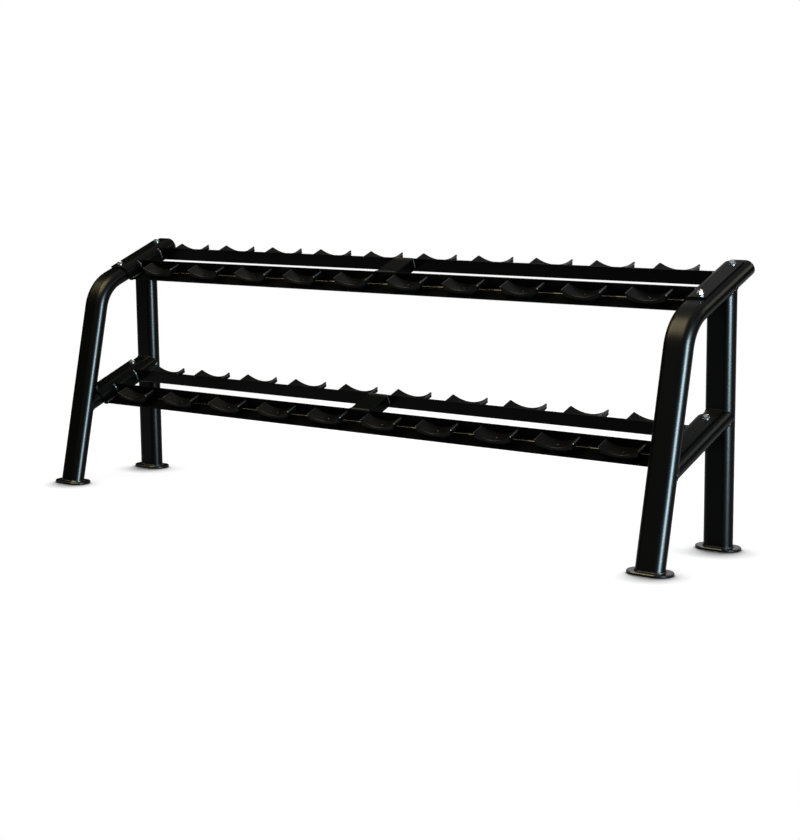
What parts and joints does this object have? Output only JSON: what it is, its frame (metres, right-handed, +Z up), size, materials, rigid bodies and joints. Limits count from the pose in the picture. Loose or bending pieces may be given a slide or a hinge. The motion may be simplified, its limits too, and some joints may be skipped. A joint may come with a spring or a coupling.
{
  "type": "two-tier dumbbell rack",
  "caption": "Free-standing two-tier rack with bent flat-oval tube side frames and sloping angle rails that carry moulded saddles for dumbbells.",
  "frame": {"origin": "on the floor, under the middle of the rack's outline", "axes": "+X along the rack to its right as seen from the front, +Y towards its back, +Z up"},
  "size_m": [2.482, 0.545, 0.8347],
  "materials": {
    "frame_paint": "satin black powder coat",
    "rail_paint": "satin black powder coat",
    "bracket_paint": "satin black powder coat",
    "foot_paint": "satin black powder coat",
    "foot_rubber": "matt",
    "cap_plastic": "fine grain",
    "saddle_plastic": "fine grain",
    "bolt_zinc": "bright zinc plate",
    "nut_zinc": "zinc plate",
    "screw_zinc": "zinc plate"
  },
  "bodies": {
    "root": {"bracket_bolts": "bolt_zinc", "bracket_washers": "bolt_zinc", "bracket_weld_nuts": "nut_zinc", "left_arm_end_cap": "cap_plastic", "left_front_foot_pad": "foot_rubber", "left_front_foot_plate": "foot_paint", "left_front_tube": "frame_paint", "left_lower_arm": "frame_paint", "left_rear_foot_pad": "foot_rubber", "left_rear_foot_plate": "foot_paint", "left_rear_leg": "frame_paint", "lower_front_rail": "rail_paint", "lower_left_bracket": "bracket_paint", "lower_mid_brace": "rail_paint", "lower_rear_rail": "rail_paint", "lower_right_bracket": "bracket_paint", "lower_saddle_pair_01": "saddle_plastic", "lower_saddle_pair_02": "saddle_plastic", "lower_saddle_pair_03": "saddle_plastic", "lower_saddle_pair_04": "saddle_plastic", "lower_saddle_pair_05": "saddle_plastic", "lower_saddle_pair_06": "saddle_plastic", "lower_saddle_pair_07": "saddle_plastic", "lower_saddle_pair_08": "saddle_plastic", "lower_saddle_pair_09": "saddle_plastic", "lower_saddle_pair_10": "saddle_plastic", "right_arm_end_cap": "cap_plastic", "right_front_foot_pad": "foot_rubber", "right_front_foot_plate": "foot_paint", "right_front_tube": "frame_paint", "right_lower_arm": "frame_paint", "right_rear_foot_pad": "foot_rubber", "right_rear_foot_plate": "foot_paint", "right_rear_leg": "frame_paint", "saddle_nuts": "screw_zinc", "saddle_screws": "screw_zinc", "upper_front_rail": "rail_paint", "upper_left_bracket": "bracket_paint", "upper_mid_brace": "rail_paint", "upper_rear_rail": "rail_paint", "upper_right_bracket": "bracket_paint", "upper_saddle_pair_01": "saddle_plastic", "upper_saddle_pair_02": "saddle_plastic", "upper_saddle_pair_03": "saddle_plastic", "upper_saddle_pair_04": "saddle_plastic", "upper_saddle_pair_05": "saddle_plastic", "upper_saddle_pair_06": "saddle_plastic", "upper_saddle_pair_07": "saddle_plastic", "upper_saddle_pair_08": "saddle_plastic", "upper_saddle_pair_09": "saddle_plastic", "upper_saddle_pair_10": "saddle_plastic"}
  },
  "joints": []
}
